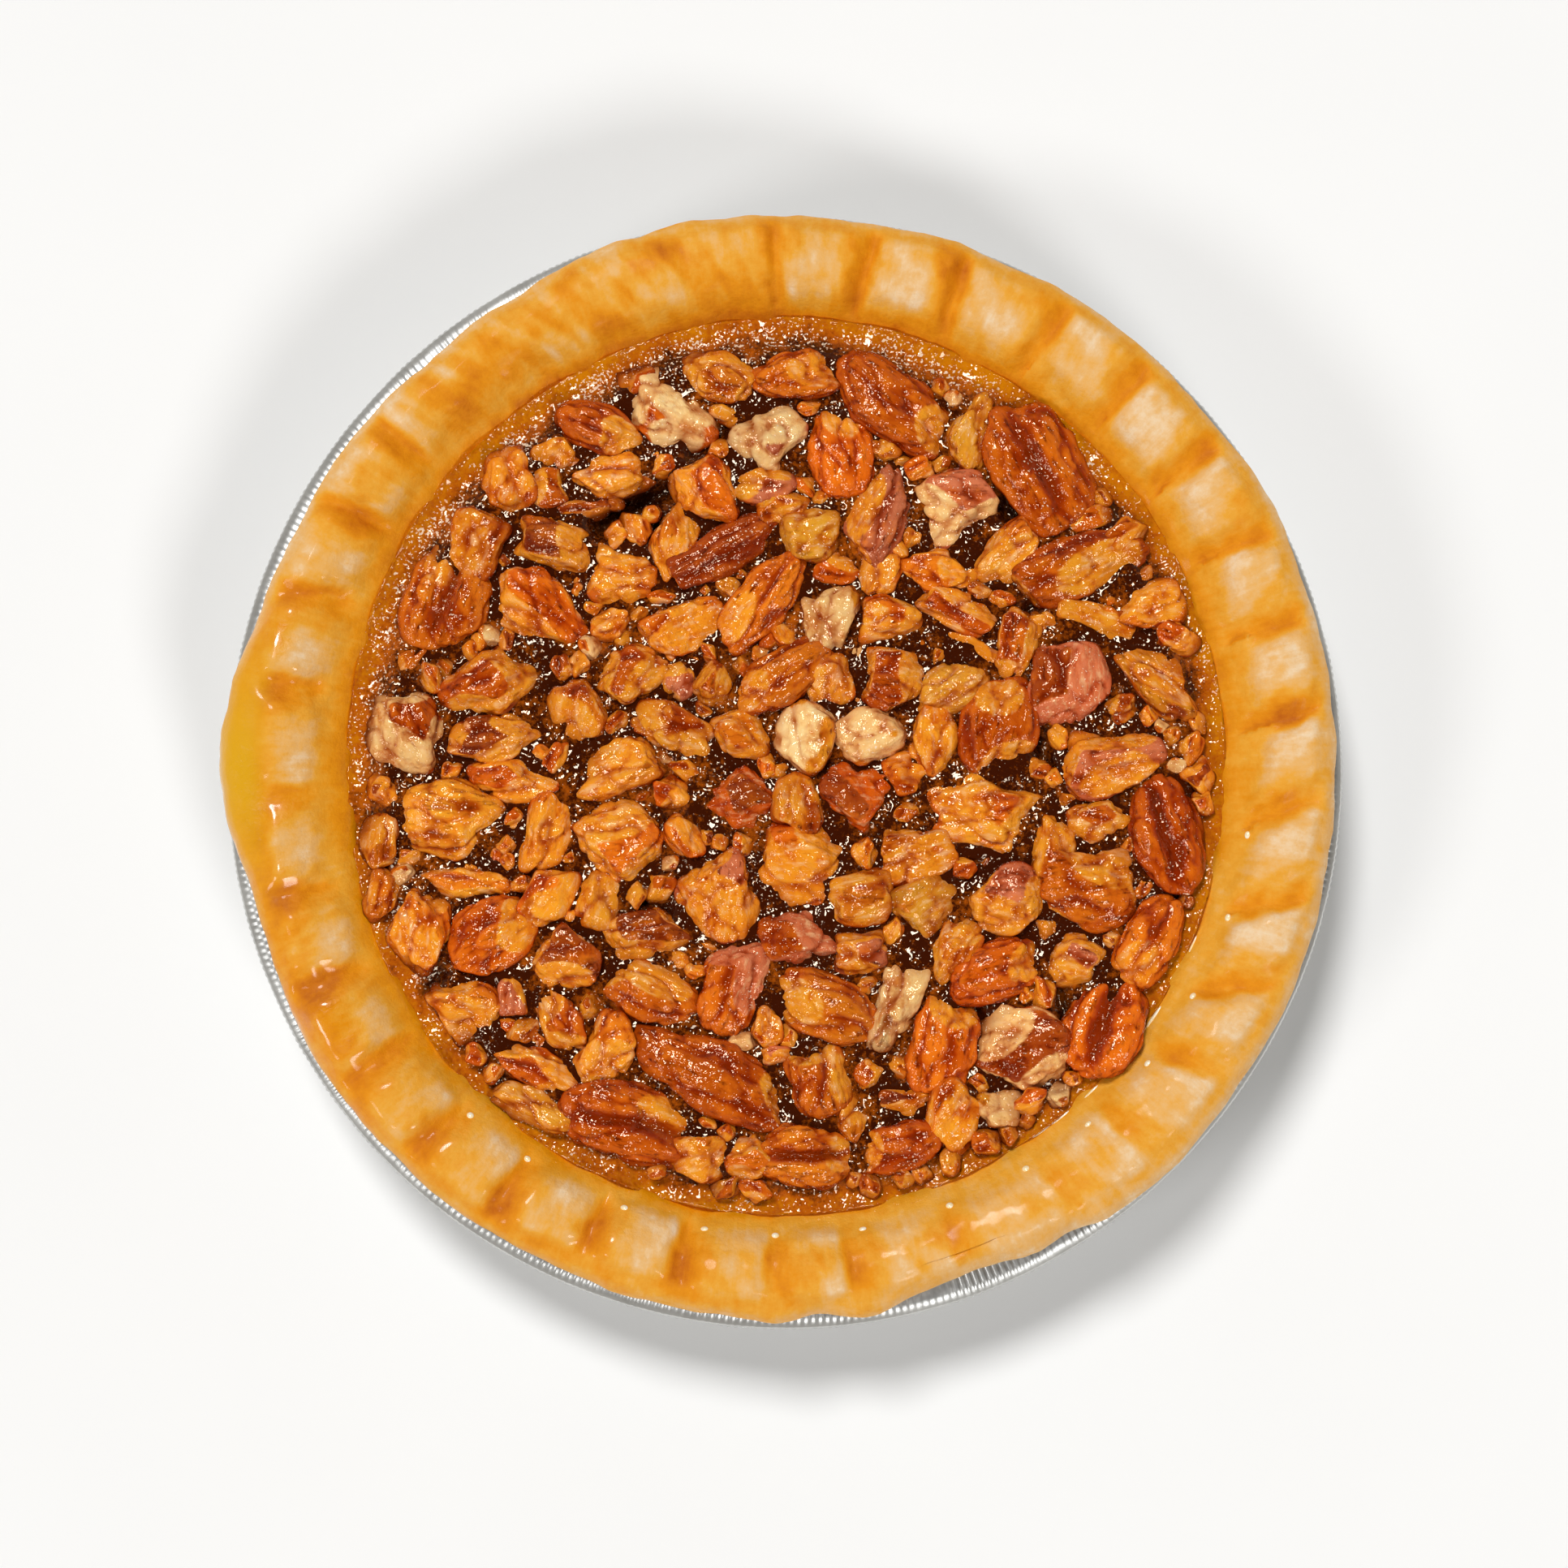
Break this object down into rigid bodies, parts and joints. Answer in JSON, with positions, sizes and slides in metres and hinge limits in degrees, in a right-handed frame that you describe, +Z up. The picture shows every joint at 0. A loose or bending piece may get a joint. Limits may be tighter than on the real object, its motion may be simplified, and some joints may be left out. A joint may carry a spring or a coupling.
{
  "type": "pecan pie in a foil tin",
  "caption": "Round baked pecan pie in its own foil tin: fluted golden crust rim, glossy caramel filling and broken pecan pieces half sunk in it.",
  "frame": {"origin": "centre of the tin's flat base, on the surface it stands on", "axes": "+Z up through the pie, +Y towards the back of the pie as pictured, +X to the right"},
  "size_m": [0.2199, 0.2188, 0.0386],
  "materials": {
    "foil": "bright crimped aluminium foil",
    "pastry": "baked shortcrust pastry, pale gold to brown, softly glazed",
    "filling": "dark caramel custard, bubbly and glossy",
    "pecan_skin": "syrup-coated pecan skin, orange-brown",
    "pecan_inner_skin": "syrup-coated inner side of a pecan half",
    "pecan_broken": "syrup-coated broken pecan, skin and flesh",
    "pecan_flesh": "syrup-coated golden pecan flesh"
  },
  "bodies": {
    "root": {"tin": "foil", "crust": "pastry", "filling": "filling", "pecan_half_01": "pecan_skin", "pecan_half_02": "pecan_skin", "pecan_half_03": "pecan_skin", "pecan_half_04": "pecan_skin", "pecan_half_05": "pecan_skin", "pecan_half_06": "pecan_skin", "pecan_half_07": "pecan_skin", "pecan_half_08": "pecan_skin", "pecan_half_09": "pecan_skin", "pecan_half_10": "pecan_skin", "pecan_half_11": "pecan_skin", "pecan_half_12": "pecan_skin", "pecan_half_13": "pecan_skin", "pecan_half_14": "pecan_skin", "pecan_half_15": "pecan_skin", "pecan_half_16": "pecan_skin", "pecan_half_17": "pecan_skin", "pecan_half_18": "pecan_skin", "pecan_half_19": "pecan_skin", "pecan_half_20": "pecan_skin", "pecan_half_21": "pecan_skin", "pecan_cup_01": "pecan_inner_skin", "pecan_cup_02": "pecan_inner_skin", "pecan_cup_03": "pecan_inner_skin", "pecan_cup_04": "pecan_inner_skin", "pecan_cup_05": "pecan_inner_skin", "pecan_cup_06": "pecan_inner_skin", "pecan_chunk_01": "pecan_broken", "pecan_chunk_02": "pecan_broken", "pecan_chunk_03": "pecan_broken", "pecan_chunk_04": "pecan_broken", "pecan_chunk_05": "pecan_broken", "pecan_chunk_06": "pecan_broken", "pecan_chunk_07": "pecan_broken", "pecan_chunk_08": "pecan_broken", "pecan_chunk_09": "pecan_broken", "pecan_chunk_10": "pecan_broken", "pecan_chunk_11": "pecan_broken", "pecan_chunk_12": "pecan_broken", "pecan_chunk_13": "pecan_broken", "pecan_chunk_14": "pecan_broken", "pecan_chunk_15": "pecan_broken", "pecan_chunk_16": "pecan_broken", "pecan_chunk_17": "pecan_broken", "pecan_chunk_18": "pecan_broken", "pecan_chunk_19": "pecan_broken", "pecan_chunk_20": "pecan_broken", "pecan_chunk_21": "pecan_broken", "pecan_chunk_22": "pecan_broken", "pecan_chunk_23": "pecan_broken", "pecan_lump_01": "pecan_flesh", "pecan_lump_02": "pecan_flesh", "pecan_lump_03": "pecan_flesh", "pecan_lump_04": "pecan_flesh", "pecan_lump_05": "pecan_flesh", "pecan_lump_06": "pecan_flesh", "pecan_lump_07": "pecan_flesh"}
  },
  "joints": []
}
